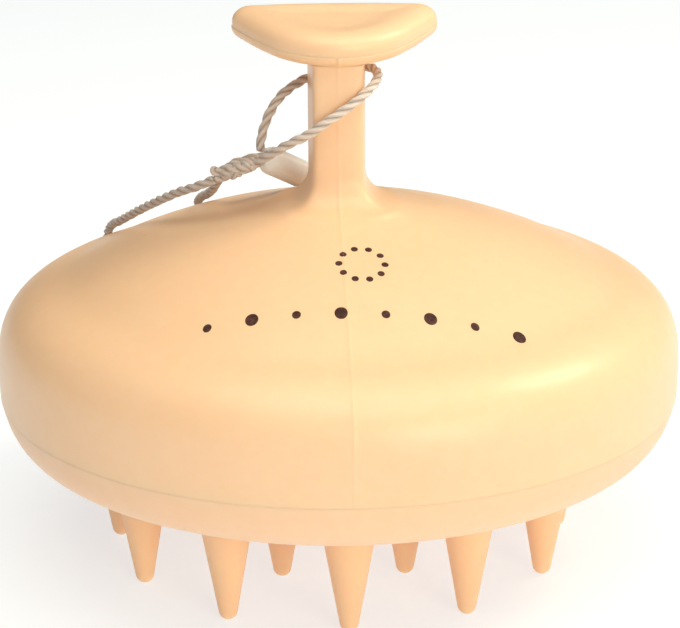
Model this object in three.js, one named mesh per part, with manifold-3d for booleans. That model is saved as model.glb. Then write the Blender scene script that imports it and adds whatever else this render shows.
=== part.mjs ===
// Scalp massager brush: a domed round body held by a half-moon grip on a short neck,
// with a soft brush pad of conical teeth underneath and a string looped round the neck.
// Millimetres, +Z up. The origin is on the dome's axis at the height of the tooth tips.
// The curved edge of the grip looks towards -Y.

import * as THREE from 'three';
import { mergeVertices } from 'three/addons/utils/BufferGeometryUtils.js';
import Module from 'manifold-3d';

const wasm = await Module();
wasm.setup();

// ---------------------------------------------------------------- driving dimensions

const GAP = 0.3;              // clearance between pieces that touch
const TURN = 2 * Math.PI;
const DEG = Math.PI / 180;

// body
const BODY_R = 42.9;          // widest radius of the rim
const SEAM_Z = 21.95;         // height of the seam between shell and base ring
const WALL = 2.3;             // wall of the shell
const BOTTOM_Z = 15.5;        // flat underside of the base ring
const BOTTOM_R = 38.2;        // outer radius of that flat
const ROUND_SEGMENTS = 48;    // facets round the large turned pieces

// neck
const NECK_HALF_X = 3.5;
const NECK_HALF_Y = 3.4;
const NECK_SQUARENESS = 2.8;  // exponent of the rounded-square section
const NECK_TOP_Z = 64;
const FOOT_TOP_Z = 48.8;      // where the fillet at the foot starts
const FOOT_BOTTOM_Z = 44.9;
const FOOT_SPREAD = 3.8;
const CORE_R = 1.8;           // blind core inside the neck
const CORE_TOP_Z = 60;

// grip
const GRIP_Z = 64.6;          // height of the parting line over the dome's axis
const GRIP_TILT = 8 * DEG;    // the curved front edge droops
const TRAY_DEPTH = 1.4;
const CAP_HEIGHT = 2.4;
const SPIGOT_INSET = 2.1;
const SPIGOT_HEIGHT = 0.65;

// brush pad and teeth
const PAD_Z = 16.6;           // underside of the pad
const PAD_TOP_Z = 20.9;
const FLANGE_R = 38.9;
const PIVOT_Z = 17.7;         // where a tooth bends
const TIP_R = 1.15;
const TOOTH_TAPER = 9.9 * DEG;
const ROOT_R = 4.0;
const ROOT_TOP_Z = 18.5;
const SOCKET_R = 4.4;
const OUTER_TEETH = 12;
const OUTER_RING_R = 28.65;
const INNER_TEETH = 6;
const INNER_RING_R = 15.4;
const TOOTH_SEGMENTS = 12;

// clamp plate and its screws
const PLATE_Z = 22.7;
const PLATE_TOP_Z = 24.7;
const PLATE_R = 38.5;
const SCREWS = 4;
const SCREW_RING_R = 20;
const SHANK_R = 1.25;
const SCREW_HEAD_R = 2.5;

// string
const STRING_R = 0.6;
const STRING_STEP = 2.6;      // length of one straight piece of the string

// ---------------------------------------------------------------- materials

const material = (color, roughness) => new THREE.MeshStandardMaterial({ color, roughness, metalness: 0 });
const PEACH_SHELL = material(0xf3d3a4, 0.48);
const PEACH_SILICONE = material(0xefc496, 0.6);
const WHITE_PLASTIC = material(0xe9e6df, 0.45);
const TRANSLUCENT = material(0xf1ece2, 0.3);
const STRING = material(0xe4d8ca, 0.9);
const STEEL = new THREE.MeshStandardMaterial({ color: 0xb9bcc0, roughness: 0.35, metalness: 1 });

// ---------------------------------------------------------------- mesh helpers

// Shared vertices, no zero-area triangles, faces pointing out.
function closed(geometry) {
  geometry.deleteAttribute('normal');
  geometry.deleteAttribute('uv');
  const welded = mergeVertices(geometry, 1e-4);
  const index = welded.index.array;
  const kept = [];
  for (let i = 0; i < index.length; i += 3) {
    const [a, b, c] = [index[i], index[i + 1], index[i + 2]];
    if (a !== b && b !== c && c !== a) kept.push(a, b, c);
  }
  if (signedVolume(welded.attributes.position, kept) < 0) kept.reverse();
  welded.setIndex(kept);
  return welded;
}

function signedVolume(position, index) {
  const [a, b, c] = [new THREE.Vector3(), new THREE.Vector3(), new THREE.Vector3()];
  let sum = 0;
  for (let i = 0; i < index.length; i += 3) {
    a.fromBufferAttribute(position, index[i]);
    b.fromBufferAttribute(position, index[i + 1]);
    c.fromBufferAttribute(position, index[i + 2]);
    sum += a.dot(b.cross(c)) / 6;
  }
  return sum;
}

function solid(geometry) {
  const body = closed(geometry);
  return new wasm.Manifold(new wasm.Mesh({
    numProp: 3,
    vertProperties: new Float32Array(body.attributes.position.array),
    triVerts: new Uint32Array(body.index.array),
  }));
}

function fromSolid(manifold) {
  const mesh = manifold.getMesh();
  const geometry = new THREE.BufferGeometry();
  geometry.setAttribute('position', new THREE.BufferAttribute(mesh.vertProperties, 3));
  geometry.setIndex(Array.from(mesh.triVerts));
  return geometry;
}

// A body of revolution about Z from a profile of [radius, height] points.
function turned(profile, segments = ROUND_SEGMENTS) {
  const points = profile.map(([r, z]) => new THREE.Vector2(r, z));
  return closed(new THREE.LatheGeometry(points, segments).rotateX(Math.PI / 2));
}

// A skin over rings that all have the same number of points, closed by a fan at each end.
function lofted(rings) {
  const count = rings[0].length;
  const vertices = rings.flat().flatMap((p) => [p.x, p.y, p.z]);
  const index = [];
  for (let ring = 0; ring + 1 < rings.length; ring += 1) {
    for (let i = 0; i < count; i += 1) {
      const next = (i + 1) % count;
      const [a, b] = [ring * count + i, ring * count + next];
      index.push(a, b, b + count, a, b + count, a + count);
    }
  }
  const fan = (ring, flip) => {
    const centre = new THREE.Vector3();
    rings[ring].forEach((p) => centre.addScaledVector(p, 1 / count));
    vertices.push(centre.x, centre.y, centre.z);
    const hub = vertices.length / 3 - 1;
    for (let i = 0; i < count; i += 1) {
      const [a, b] = [ring * count + i, ring * count + (i + 1) % count];
      index.push(...(flip ? [hub, b, a] : [hub, a, b]));
    }
  };
  fan(0, true);
  fan(rings.length - 1, false);
  const geometry = new THREE.BufferGeometry();
  geometry.setAttribute('position', new THREE.Float32BufferAttribute(vertices, 3));
  geometry.setIndex(index);
  return closed(geometry);
}

function smooth(profile, count) {
  const curve = new THREE.SplineCurve(profile.map(([r, z]) => new THREE.Vector2(r, z)));
  return curve.getSpacedPoints(count).map((p) => [p.x, p.y]);
}

function around(count, radius, phase = 0) {
  return Array.from({ length: count }, (_, i) => {
    const angle = phase + (i * TURN) / count;
    return new THREE.Vector2(radius * Math.cos(angle), radius * Math.sin(angle));
  });
}

const brush = new THREE.Group();

function add(name, geometry, look) {
  const mesh = new THREE.Mesh(geometry, look);
  mesh.name = name;
  brush.add(mesh);
  return mesh;
}

// ---------------------------------------------------------------- top shell: dome, neck and tray

const DOME_OUTLINE = [
  [6, 45.1], [15, 42.95], [22, 41.05], [29, 38.4], [34.5, 35.8], [37.2, 34.85],
  [39.6, 33.6], [41.3, 32], [42.4, 29.9], [42.85, 27], [BODY_R, 24.5], [42.88, SEAM_Z + GAP / 2],
];

function domeShell() {
  const inside = BODY_R - WALL;
  const underside = [
    [inside, 27], [39.7, 29.9], [37.6, 31.8], [33.6, 33.6], [28.1, 36.2], [21.3, 38.8], [14.5, 40.65], [6, 42.7],
  ];
  return turned([
    [0, 45.8],
    ...smooth(DOME_OUTLINE, 14),
    [inside, SEAM_Z + GAP / 2],
    ...smooth(underside, 6),
    [0, 43.1],
  ]);
}

// Rounded-square ring of the neck, spread by an amount all round.
function neckRing(z, spread) {
  const roundness = NECK_SQUARENESS - 0.8 * Math.min(1, spread / FOOT_SPREAD);
  const count = 24;
  return Array.from({ length: count }, (_, i) => {
    const angle = (i * TURN) / count;
    const [c, s] = [Math.cos(angle), Math.sin(angle)];
    const x = (NECK_HALF_X + spread) * Math.sign(c) * Math.abs(c) ** (2 / roundness);
    const y = (NECK_HALF_Y + spread) * Math.sign(s) * Math.abs(s) ** (2 / roundness);
    return new THREE.Vector3(x, y, z);
  });
}

function neck() {
  const height = FOOT_TOP_Z - FOOT_BOTTOM_Z;
  const flare = [1, 0.94, 0.82, 0.64, 0.4].map((t) => {
    const spread = FOOT_SPREAD * (1 - Math.sqrt(1 - t * t));
    return neckRing(FOOT_TOP_Z - t * height, spread);
  });
  return lofted([neckRing(FOOT_BOTTOM_Z - 0.6, FOOT_SPREAD), ...flare,
    neckRing(FOOT_TOP_Z, 0), neckRing(NECK_TOP_Z, 0)]);
}

// Half-moon outline of the grip: a pointed-round front, tight corners and a nearly straight back.
const GRIP_OUTLINE = new THREE.CatmullRomCurve3([
  [0, -5.4], [3.5, -4.6], [6.9, -2.4], [9.5, 0.9], [11.6, 4.5], [12.9, 7.6], [11.9, 9.8], [8, 10.5], [0, 10.8],
  [-8, 10.5], [-11.9, 9.8], [-12.9, 7.6], [-11.6, 4.5], [-9.5, 0.9], [-6.9, -2.4], [-3.5, -4.6],
].map(([x, y]) => new THREE.Vector3(x, y, 0)), true, 'centripetal');

function gripRing(z, inset) {
  const count = 40;
  return Array.from({ length: count }, (_, i) => {
    const point = GRIP_OUTLINE.getPointAt(i / count);
    const along = GRIP_OUTLINE.getTangentAt(i / count);
    return new THREE.Vector3(point.x - along.y * inset, point.y + along.x * inset, z);
  });
}

// Grip pieces are drawn about their parting plane and then tilted into place.
function tilted(geometry) {
  return geometry.rotateX(GRIP_TILT).translate(0, 0, GRIP_Z);
}

function tray() {
  return tilted(lofted([
    gripRing(-TRAY_DEPTH, 1.2), gripRing(-1.1, 0.55), gripRing(-0.65, 0.15), gripRing(-GAP / 2, 0),
    gripRing(-GAP / 2, SPIGOT_INSET), gripRing(SPIGOT_HEIGHT, SPIGOT_INSET),
  ]));
}

function topShell() {
  const bossTop = 40.2;
  const bossFoot = PLATE_TOP_Z + GAP;
  let shell = solid(domeShell()).add(solid(neck())).add(solid(tray()));
  const places = around(SCREWS, SCREW_RING_R, TURN / 8);
  const boss = turned([[0, bossFoot], [3.2, bossFoot], [3.2, bossTop], [0, bossTop]], 16);
  places.forEach(({ x, y }) => { shell = shell.add(solid(boss.clone().translate(x, y, 0))); });
  const pilot = turned([[0, bossFoot - 1], [1.55, bossFoot - 1], [1.55, 33.4], [0, 33.9]], 12);
  places.forEach(({ x, y }) => { shell = shell.subtract(solid(pilot.clone().translate(x, y, 0))); });
  const core = turned([[0, 40], [CORE_R, 40], [CORE_R, CORE_TOP_Z], [0, CORE_TOP_Z + 0.8]], 12);
  return fromSolid(shell.subtract(solid(core)));
}

add('top_shell', topShell(), PEACH_SHELL);

// ---------------------------------------------------------------- grip cap

function gripCap() {
  const pocketInset = SPIGOT_INSET - GAP;
  const pocketTop = SPIGOT_HEIGHT + GAP;
  return tilted(lofted([
    gripRing(pocketTop, pocketInset), gripRing(GAP / 2, pocketInset),
    gripRing(GAP / 2, 0.05), gripRing(0.6, 0), gripRing(1.25, 0.28), gripRing(1.8, 0.8),
    gripRing(2.2, 1.5), gripRing(CAP_HEIGHT, 2.4),
  ]));
}

add('grip_cap', gripCap(), PEACH_SHELL);

// ---------------------------------------------------------------- base ring

function baseRing() {
  const seam = SEAM_Z - GAP / 2;
  const tongueOuter = BODY_R - WALL - GAP;
  const tongueInner = tongueOuter - 1;
  const tongueTop = seam + 2.6;
  const ledgeZ = BOTTOM_Z + 1.8;
  const mouthR = 36.1;
  return turned([
    [BOTTOM_R, BOTTOM_Z],
    ...smooth([[39.3, 15.95], [40.8, 17.1], [42.1, 19.2], [42.84, seam]], 6),
    [tongueOuter, seam], [tongueOuter, tongueTop], [tongueInner, tongueTop],
    [tongueInner, ledgeZ], [mouthR, ledgeZ], [mouthR, BOTTOM_Z], [BOTTOM_R, BOTTOM_Z],
  ]);
}

add('base_ring', baseRing(), PEACH_SHELL);

// ---------------------------------------------------------------- brush pad and teeth

const OUTER_PLACES = around(OUTER_TEETH, OUTER_RING_R, -TURN / 4);
const INNER_PLACES = around(INNER_TEETH, INNER_RING_R, -TURN / 4 + TURN / 12);

function brushPad() {
  let pad = solid(turned([
    [0, PAD_Z], [35.2, PAD_Z], [35.6, PAD_Z + 0.4], [35.6, 17.6], [FLANGE_R, 17.6], [FLANGE_R, 20],
    [34.8, 20], [34.4, PAD_TOP_Z], [0, PAD_TOP_Z],
  ]));
  const mouth = Math.sqrt(SOCKET_R ** 2 - (PIVOT_Z - PAD_Z) ** 2);
  const socket = turned([
    [0, PAD_Z - 0.5], [mouth, PAD_Z - 0.5], [SOCKET_R, PIVOT_Z], [SOCKET_R - 0.4, 19.6], [0, 19.6],
  ], TOOTH_SEGMENTS);
  [...OUTER_PLACES, ...INNER_PLACES].forEach(({ x, y }) => {
    pad = pad.subtract(solid(socket.clone().translate(x, y, 0)));
  });
  return fromSolid(pad);
}

function tooth() {
  const coneR = (z) => TIP_R / Math.cos(TOOTH_TAPER) + (z - TIP_R) * Math.tan(TOOTH_TAPER);
  const tip = [20, 42, 64].map((angle) => {
    const a = angle * DEG;
    return [TIP_R * Math.sin(a), TIP_R * (1 - Math.cos(a))];
  });
  return turned([
    [0, 0], ...tip, [coneR(TIP_R), TIP_R], [coneR(8), 8], [coneR(16.2), 16.3],
    [ROOT_R, 17.5], [ROOT_R - 0.1, ROOT_TOP_Z], [0, ROOT_TOP_Z],
  ], TOOTH_SEGMENTS);
}

add('brush_pad', brushPad(), PEACH_SILICONE);
const toothShape = tooth();
const number = (i) => String(i + 1).padStart(2, '0');
OUTER_PLACES.forEach(({ x, y }, i) => {
  add(`tooth_outer_${number(i)}`, toothShape, PEACH_SILICONE).position.set(x, y, 0);
});
INNER_PLACES.forEach(({ x, y }, i) => {
  add(`tooth_inner_${number(i)}`, toothShape, PEACH_SILICONE).position.set(x, y, 0);
});

// ---------------------------------------------------------------- clamp plate and screws

function clampPlate() {
  const footInner = 35.2;
  const footZ = 20 + GAP;
  let plate = solid(turned([
    [0, PLATE_Z], [footInner, PLATE_Z], [footInner, footZ], [PLATE_R, footZ], [PLATE_R, PLATE_TOP_Z], [0, PLATE_TOP_Z],
  ]));
  const hole = turned([[0, PLATE_Z - 1], [1.6, PLATE_Z - 1], [1.6, PLATE_TOP_Z + 1], [0, PLATE_TOP_Z + 1]], 12);
  around(SCREWS, SCREW_RING_R, TURN / 8).forEach(({ x, y }) => {
    plate = plate.subtract(solid(hole.clone().translate(x, y, 0)));
  });
  return fromSolid(plate);
}

// Pan-head self-tapping screw with a cross recess, head down.
function screw() {
  const headZ = PAD_TOP_Z + GAP;
  const headTop = PLATE_Z - GAP;
  let body = solid(turned([
    [0, headZ], [SCREW_HEAD_R - 0.6, headZ], [SCREW_HEAD_R, headZ + 0.5], [SCREW_HEAD_R, headTop],
    [SHANK_R, headTop], [SHANK_R, 31.5], [0.3, 33], [0, 33],
  ], 12));
  [[2.6, 0.6], [0.6, 2.6]].forEach(([dx, dy]) => {
    body = body.subtract(solid(new THREE.BoxGeometry(dx, dy, 1.4).translate(0, 0, headZ)));
  });
  return fromSolid(body);
}

add('clamp_plate', clampPlate(), WHITE_PLASTIC);
const screwShape = screw();
around(SCREWS, SCREW_RING_R, TURN / 8).forEach(({ x, y }, i) => {
  add(`screw_${i + 1}`, screwShape, STEEL).position.set(x, y, 0);
});

// ---------------------------------------------------------------- string, knot and lock

// From the knot, over the front of the neck, up round its right side, behind it and back to the knot.
const NECK_LOOP_ROUTE = [
  [-9.7, -2.3, 50.6], [-8.4, -3.2, 51.6], [-6.0, -4.2, 53.2], [-3.6, -4.7, 54.5], [-1.3, -4.8, 56.1],
  [1.1, -4.7, 57.7], [2.8, -4.1, 58.9], [4.1, -2.8, 59.8], [4.9, -0.8, 60.4], [5.0, 1.4, 60.8],
  [4.2, 3.4, 61.0], [2.4, 4.7, 60.9], [0.3, 5.1, 60.5], [-1.9, 4.9, 60.0], [-3.6, 4.4, 59.5],
  [-5.3, 3.4, 58.8], [-6.8, 2.4, 57.8], [-8.0, 1.5, 56.4], [-8.9, 0.8, 54.6], [-9.4, 0.3, 52.9], [-9.6, -0.1, 51.3],
];

// From the knot along the dome's left, back over the rim, hanging there as a bight, then over the dome again
// and up behind the knot into the lock.
const HANG_LOOP_ROUTE = [
  [-15.2, -1.0, 48.1], [-17.6, 0.6, 46.8], [-19.9, 3.0, 45.5], [-22.3, 6.2, 43.7], [-24.7, 10.2, 41.6],
  [-26.9, 14.6, 39.4], [-28.7, 18.8, 37.4], [-29.9, 23.0, 35.8], [-30.9, 27.0, 33.6], [-31.4, 30.1, 30.3],
  [-30.3, 31.9, 26.5], [-29.0, 33.0, 22.0], [-26.6, 34.2, 18.8], [-23.4, 35.6, 17.6], [-21.0, 37.6, 19.0],
  [-19.8, 39.2, 22.4], [-19.1, 39.6, 26.8], [-18.7, 39.0, 30.8], [-18.5, 37.2, 33.5], [-18.5, 33.4, 35.6],
  [-18.4, 29.0, 37.2], [-18.0, 25.0, 38.75], [-17.4, 20.5, 40.3], [-16.6, 16.0, 41.8], [-15.8, 12.0, 43.5],
  [-15.0, 8.8, 45.5], [-14.1, 6.4, 47.3], [-13.0, 5.1, 48.5], [-11.7, 4.75, 49.0], [-10.4, 5.15, 49.25],
  [-9.05, 5.87, 49.07],
];

const LOCK_MOUTH = new THREE.Vector3(-9.2, 5.8, 49.15);   // end of the lock that takes the string
const LOCK_FAR = new THREE.Vector3(-4.3, 8.6, 46.15);
const LOCK_R = 1.8;
const KNOT_LEFT = new THREE.Vector3(-14.8, -0.95, 48.35);
const KNOT_RIGHT = new THREE.Vector3(-10.0, -1.5, 50.3);
const KNOT_R = 1.25;

function stringTube(route) {
  const curve = new THREE.CatmullRomCurve3(route.map((p) => new THREE.Vector3(...p)));
  const section = new THREE.Shape(around(8, STRING_R));
  const steps = Math.round(curve.getLength() / STRING_STEP);
  return closed(new THREE.ExtrudeGeometry(section, { steps, extrudePath: curve, bevelEnabled: false }));
}

// A turned piece laid from one point to another; its profile runs up from zero.
function between(profile, from, to, segments) {
  const direction = to.clone().sub(from).normalize();
  const turn = new THREE.Quaternion().setFromUnitVectors(new THREE.Vector3(0, 0, 1), direction);
  return turned(profile, segments).applyQuaternion(turn).translate(from.x, from.y, from.z);
}

function knot() {
  const length = KNOT_LEFT.distanceTo(KNOT_RIGHT);
  const lump = between([
    [0, 0], [0.7, 0.15], [1.05, 0.8], [KNOT_R, 1.7], [1.15, 2.6], [KNOT_R, 3.4], [0.95, length - 0.5],
    [0.55, length], [0, length],
  ], KNOT_LEFT, KNOT_RIGHT, 12);
  const stubStart = KNOT_LEFT.clone().lerp(KNOT_RIGHT, 0.35);
  const stubEnd = new THREE.Vector3(-15.4, -0.5, 49.5);
  const stubLength = stubStart.distanceTo(stubEnd);
  const stub = between([[0, 0], [STRING_R, 0], [STRING_R, stubLength], [0, stubLength]], stubStart, stubEnd, 8);
  return fromSolid(solid(lump).add(solid(stub)));
}

function cordLock() {
  const length = LOCK_MOUTH.distanceTo(LOCK_FAR);
  const bore = STRING_R + 1.4 * GAP;
  return between([
    [bore, 0], [1.25, 0], [LOCK_R, 0.9], [LOCK_R, length - 0.5], [1.2, length], [0, length],
    [0, 1.6], [bore, 1.6], [bore, 0],
  ], LOCK_MOUTH, LOCK_FAR, 14);
}

add('neck_loop', stringTube(NECK_LOOP_ROUTE), STRING);
add('hang_loop', stringTube(HANG_LOOP_ROUTE), STRING);
add('knot', knot(), STRING);
add('cord_lock', cordLock(), TRANSLUCENT);

export default brush;
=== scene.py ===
"""Looks of the scalp massager brush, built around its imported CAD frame.

Shapes are worked out in millimetres, as in the CAD, and turned into metres when a mesh is made.
+Z is up, the dome's axis is the Z axis and the curved edge of the grip looks towards -Y.
"""

import math

import bpy
import numpy as np
from mathutils import Matrix, Vector


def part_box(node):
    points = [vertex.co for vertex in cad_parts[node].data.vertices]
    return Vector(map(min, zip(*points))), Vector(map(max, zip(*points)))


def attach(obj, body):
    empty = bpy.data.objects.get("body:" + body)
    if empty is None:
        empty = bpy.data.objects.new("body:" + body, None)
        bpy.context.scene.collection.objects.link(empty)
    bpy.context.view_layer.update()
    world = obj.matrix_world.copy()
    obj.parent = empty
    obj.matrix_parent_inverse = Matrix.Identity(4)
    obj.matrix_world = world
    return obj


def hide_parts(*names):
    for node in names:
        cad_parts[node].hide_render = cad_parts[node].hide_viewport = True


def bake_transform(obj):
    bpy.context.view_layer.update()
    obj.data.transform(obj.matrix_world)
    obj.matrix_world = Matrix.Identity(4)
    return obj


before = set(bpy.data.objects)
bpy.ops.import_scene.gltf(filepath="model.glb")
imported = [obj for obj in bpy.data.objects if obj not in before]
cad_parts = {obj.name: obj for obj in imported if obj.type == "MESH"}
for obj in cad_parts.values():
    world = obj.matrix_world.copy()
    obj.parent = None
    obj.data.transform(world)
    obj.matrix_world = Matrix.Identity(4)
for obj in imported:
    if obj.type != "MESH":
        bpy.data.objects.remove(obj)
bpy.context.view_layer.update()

MM = 0.001
TURN = 2 * math.pi

# ---------------------------------------------------------------- sizes shared with the CAD

BODY_R = 42.9
SEAM_Z = 21.95
WALL = 2.3
DOME_OUTLINE = [
    (6, 45.1), (15, 42.95), (22, 41.05), (29, 38.4), (34.5, 35.8), (37.2, 34.85), (39.6, 33.6),
    (41.3, 32), (42.4, 29.9), (42.85, 27), (BODY_R, 24.5), (42.88, 22.1),
]
APEX_Z = 45.8
NECK_HALF_X, NECK_HALF_Y = 3.5, 3.4
FOOT_TOP_Z, FOOT_BOTTOM_Z, FOOT_SPREAD = 48.8, 44.9, 3.8
GRIP_Z = 64.6
GRIP_TILT = math.radians(8)
TRAY_DEPTH = 1.4
CAP_HEIGHT = 2.4
GRIP_OUTLINE = [
    (0, -5.4), (3.5, -4.6), (6.9, -2.4), (9.5, 0.9), (11.6, 4.5), (12.9, 7.6), (11.9, 9.8), (8, 10.5),
    (0, 10.8), (-8, 10.5), (-11.9, 9.8), (-12.9, 7.6), (-11.6, 4.5), (-9.5, 0.9), (-6.9, -2.4), (-3.5, -4.6),
]
BOTTOM_Z, BOTTOM_R = 15.5, 38.2
PAD_Z, PAD_TOP_Z = 16.6, 20.9
FLANGE_R = 38.9
TOOTH_TIP_R = 1.15
TOOTH_TAPER = math.radians(9.9)
STRING_R = 0.6

# The string's routes, point for point those of the CAD.
NECK_LOOP_ROUTE = [
    (-9.7, -2.3, 50.6), (-8.4, -3.2, 51.6), (-6.0, -4.2, 53.2), (-3.6, -4.7, 54.5), (-1.3, -4.8, 56.1),
    (1.1, -4.7, 57.7), (2.8, -4.1, 58.9), (4.1, -2.8, 59.8), (4.9, -0.8, 60.4), (5.0, 1.4, 60.8),
    (4.2, 3.4, 61.0), (2.4, 4.7, 60.9), (0.3, 5.1, 60.5), (-1.9, 4.9, 60.0), (-3.6, 4.4, 59.5),
    (-5.3, 3.4, 58.8), (-6.8, 2.4, 57.8), (-8.0, 1.5, 56.4), (-8.9, 0.8, 54.6), (-9.4, 0.3, 52.9),
    (-9.6, -0.1, 51.3),
]
HANG_LOOP_ROUTE = [
    (-15.2, -1.0, 48.1), (-17.6, 0.6, 46.8), (-19.9, 3.0, 45.5), (-22.3, 6.2, 43.7), (-24.7, 10.2, 41.6),
    (-26.9, 14.6, 39.4), (-28.7, 18.8, 37.4), (-29.9, 23.0, 35.8), (-30.9, 27.0, 33.6), (-31.4, 30.1, 30.3),
    (-30.3, 31.9, 26.5), (-29.0, 33.0, 22.0), (-26.6, 34.2, 18.8), (-23.4, 35.6, 17.6), (-21.0, 37.6, 19.0),
    (-19.8, 39.2, 22.4), (-19.1, 39.6, 26.8), (-18.7, 39.0, 30.8), (-18.5, 37.2, 33.5), (-18.5, 33.4, 35.6),
    (-18.4, 29.0, 37.2), (-18.0, 25.0, 38.75), (-17.4, 20.5, 40.3), (-16.6, 16.0, 41.8), (-15.8, 12.0, 43.5),
    (-15.0, 8.8, 45.5), (-14.1, 6.4, 47.3), (-13.0, 5.1, 48.5), (-11.7, 4.75, 49.0), (-10.4, 5.15, 49.25),
    (-9.05, 5.87, 49.07),
]
KNOT_LEFT, KNOT_RIGHT = np.array((-14.8, -0.95, 48.35)), np.array((-10.0, -1.5, 50.3))
STUB_END = np.array((-15.4, -0.5, 49.5))
LOCK_MOUTH, LOCK_FAR = np.array((-9.2, 5.8, 49.15)), np.array((-4.3, 8.6, 46.15))
LOCK_R = 1.8


# ---------------------------------------------------------------- camera

CAMERA_DISTANCE, CAMERA_HEIGHT = 0.240, 0.1099    # metres
CAMERA_SENSOR, CAMERA_LENS = 36, 105.25          # millimetres
CAMERA_SHIFT = 0.0059
CAMERA_SIDE = math.radians(2.2)      # how far it stands to the left of the -Y axis
CAMERA_HEADING = math.radians(2.25)
CAMERA_PITCH = math.radians(18.54)
CAMERA_ROLL = math.radians(-0.28)


def make_camera():
    data = bpy.data.cameras.new("camera")
    data.sensor_width = CAMERA_SENSOR
    data.lens = CAMERA_LENS
    data.shift_y = CAMERA_SHIFT
    data.clip_start, data.clip_end = 0.01, 20
    camera = bpy.data.objects.new("camera", data)
    bpy.context.collection.objects.link(camera)
    z = Vector((0, 0, 1))
    ahead = Vector((math.sin(CAMERA_HEADING), math.cos(CAMERA_HEADING), 0))
    level = Vector((math.cos(CAMERA_HEADING), -math.sin(CAMERA_HEADING), 0))
    forward = ahead * math.cos(CAMERA_PITCH) - z * math.sin(CAMERA_PITCH)
    upward = z * math.cos(CAMERA_PITCH) + ahead * math.sin(CAMERA_PITCH)
    right = level * math.cos(CAMERA_ROLL) + upward * math.sin(CAMERA_ROLL)
    up = upward * math.cos(CAMERA_ROLL) - level * math.sin(CAMERA_ROLL)
    camera.matrix_world = Matrix.Translation((
        -CAMERA_DISTANCE * math.sin(CAMERA_SIDE), -CAMERA_DISTANCE * math.cos(CAMERA_SIDE), CAMERA_HEIGHT,
    )) @ Matrix((right, up, -forward)).transposed().to_4x4()
    bpy.context.scene.camera = camera


make_camera()


# ---------------------------------------------------------------- material helpers

def new_material(name, color, roughness, **settings):
    """A material with a Principled shader; settings are its sockets, spaces written as underscores."""
    material = bpy.data.materials.new(name)
    material.use_nodes = True
    shader = material.node_tree.nodes["Principled BSDF"]
    shader.inputs["Base Color"].default_value = (*color, 1)
    shader.inputs["Roughness"].default_value = roughness
    for socket, value in settings.items():
        shader.inputs[socket.replace("_", " ")].default_value = value
    return material, material.node_tree, shader


def add_node(tree, kind, links=None, values=None, **settings):
    """A node with its attributes set, its sockets filled in and its inputs linked."""
    made = tree.nodes.new(kind)
    for name, value in settings.items():
        setattr(made, name, value)
    for socket, value in (values or {}).items():
        made.inputs[socket].default_value = value
    for socket, source in (links or {}).items():
        tree.links.new(source, made.inputs[socket])
    return made


def noise(tree, place, size, detail=2.0, roughness=0.5):
    """Noise whose blotches are about size millimetres across."""
    return add_node(tree, "ShaderNodeTexNoise", {"Vector": place},
                    {"Scale": 1 / (size * MM), "Detail": detail, "Roughness": roughness}).outputs["Fac"]


def spread_of(tree, value, low, high, to_low=0.0, to_high=1.0):
    """A value's stretch from low to high, drawn out to another range and held at its ends."""
    return add_node(tree, "ShaderNodeMapRange", {"Value": value}, {
        "From Min": low, "From Max": high, "To Min": to_low, "To Max": to_high}).outputs["Result"]


def mixed(tree, amount, color_a, color_b):
    """Two colours mixed; each is a colour or another node's output."""
    links, values = {"Factor": amount}, {}
    for socket, color in ((6, color_a), (7, color_b)):
        if isinstance(color, tuple):
            values[socket] = (*color, 1)
        else:
            links[socket] = color
    return add_node(tree, "ShaderNodeMix", links, values, data_type="RGBA").outputs[2]


def combine(tree, operation, a, b):
    """A sum or product of two terms; each is a number or another node's output."""
    links, values = {}, {}
    for socket, term in ((0, a), (1, b)):
        if isinstance(term, (int, float)):
            values[socket] = term
        else:
            links[socket] = term
    return add_node(tree, "ShaderNodeMath", links, values, operation=operation).outputs[0]


def bumped(tree, shader, height, depth, strength=1.0):
    """Relief of a height from 0 to 1, depth millimetres deep."""
    bump = add_node(tree, "ShaderNodeBump", {"Height": height},
                    {"Strength": strength, "Distance": depth * MM})
    tree.links.new(bump.outputs["Normal"], shader.inputs["Normal"])


# ---------------------------------------------------------------- materials

def moulded_plastic(name, color, deep, roughness, subsurface):
    """Satin moulded plastic: faint flow mottling, stray specks, fine grain and soft orange peel."""
    material, tree, shader = new_material(
        name, color, roughness, Subsurface_Weight=subsurface, Subsurface_Radius=(1.0, 0.42, 0.2),
        Subsurface_Scale=0.0022, Specular_IOR_Level=0.42)
    place = add_node(tree, "ShaderNodeTexCoord").outputs["Object"]
    flow = spread_of(tree, noise(tree, place, 14, 3), 0.3, 0.7)
    mottle = spread_of(tree, noise(tree, place, 1.6, 2), 0.3, 0.7)
    body = mixed(tree, combine(tree, "MULTIPLY", combine(tree, "ADD", flow, mottle), 0.35), color, deep)
    cells = add_node(tree, "ShaderNodeTexVoronoi", {"Vector": place},
                     {"Scale": 1 / (11 * MM), "Randomness": 1.0})
    speck = spread_of(tree, cells.outputs["Distance"], 0.012, 0.03, 0.5, 0.0)
    speck_tint = tuple(c * f for c, f in zip(deep, (0.86, 0.62, 0.5)))
    tree.links.new(mixed(tree, speck, body, speck_tint), shader.inputs["Base Color"])
    polish = spread_of(tree, noise(tree, place, 5, 3), 0.25, 0.75, roughness - 0.04, roughness + 0.05)
    tree.links.new(polish, shader.inputs["Roughness"])
    grain = noise(tree, place, 0.11, 2)
    peel = noise(tree, place, 1.1, 1)
    bumped(tree, shader, combine(tree, "ADD", grain, combine(tree, "MULTIPLY", peel, 1.4)), 0.012, 0.6)
    return material


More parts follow.
